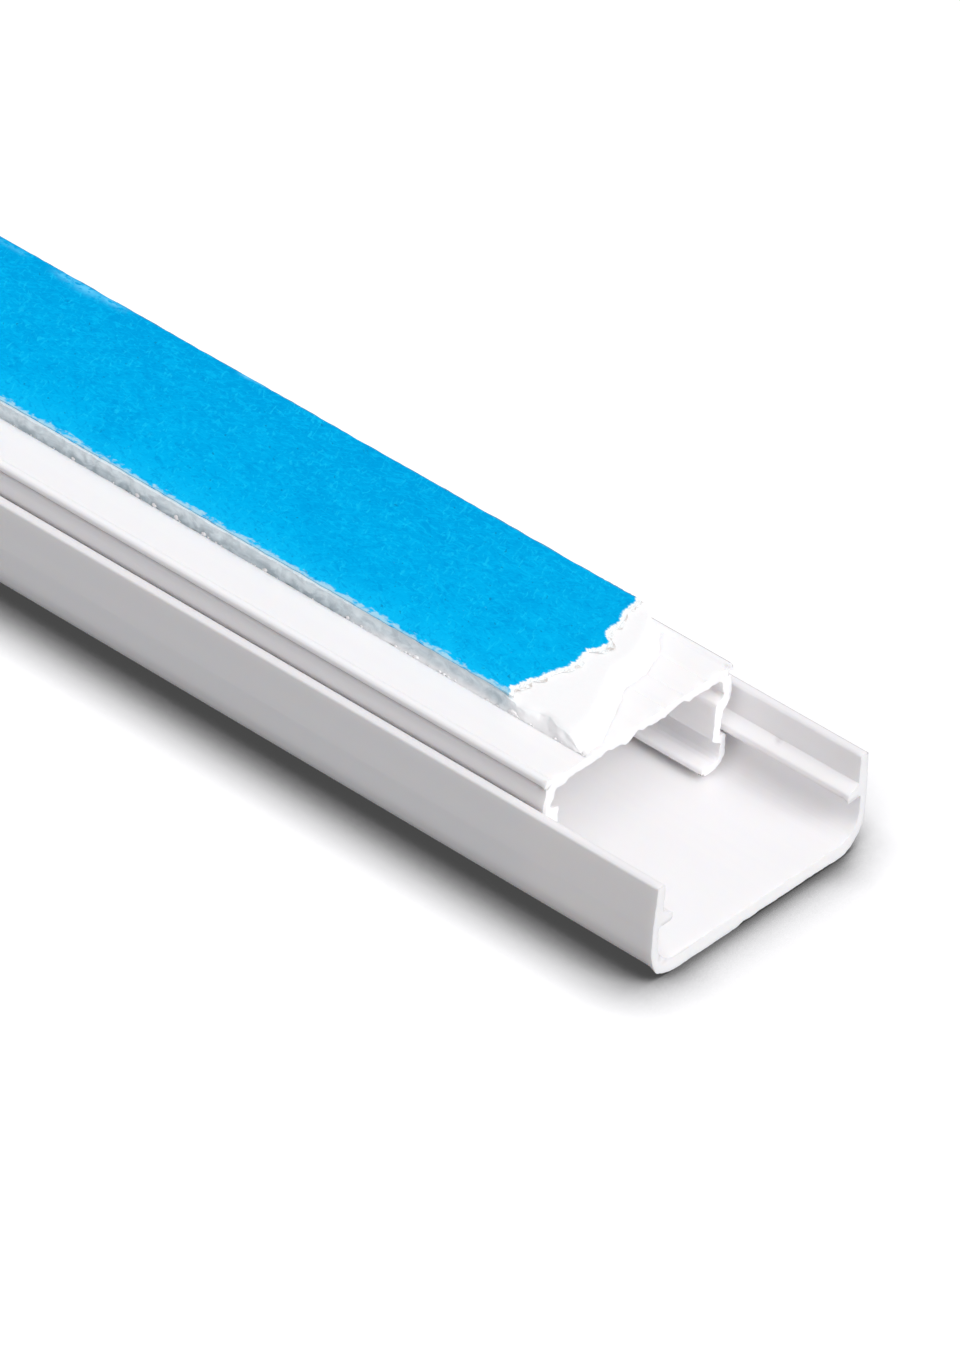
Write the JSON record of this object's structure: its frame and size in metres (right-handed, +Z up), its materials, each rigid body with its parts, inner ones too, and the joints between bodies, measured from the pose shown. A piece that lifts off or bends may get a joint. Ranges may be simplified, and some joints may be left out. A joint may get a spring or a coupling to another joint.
{
  "type": "cord cover raceway",
  "caption": "Self-adhesive PVC cord cover raceway: a snap-in cover channel and its base channel with adhesive tape and release liner, lying upside down with the base slid back.",
  "frame": {"origin": "centre of the cover's outer show face, which lies on the floor", "axes": "+X along the stock towards the front end, where the cover stands out past the base; +Y across it towards the side where the tape lies against the base's raised edge; +Z up"},
  "size_m": [0.41, 0.02, 0.0103],
  "materials": {
    "cover_pvc": "white extruded PVC, satin",
    "base_pvc": "white extruded PVC, satin",
    "adhesive": "clear grey foam adhesive with small bubbles",
    "liner_paper": "blue fibrous release paper, torn at one end"
  },
  "bodies": {
    "cover": {"cover": "cover_pvc"},
    "base": {"base": "base_pvc", "adhesive_tape": "adhesive", "release_liner": "liner_paper"}
  },
  "joints": [
    {"name": "base_slide", "type": "slide", "parent": "cover", "child": "base", "axis": [1, 0, 0], "range_m": [-0.37, 0.01]}
  ]
}
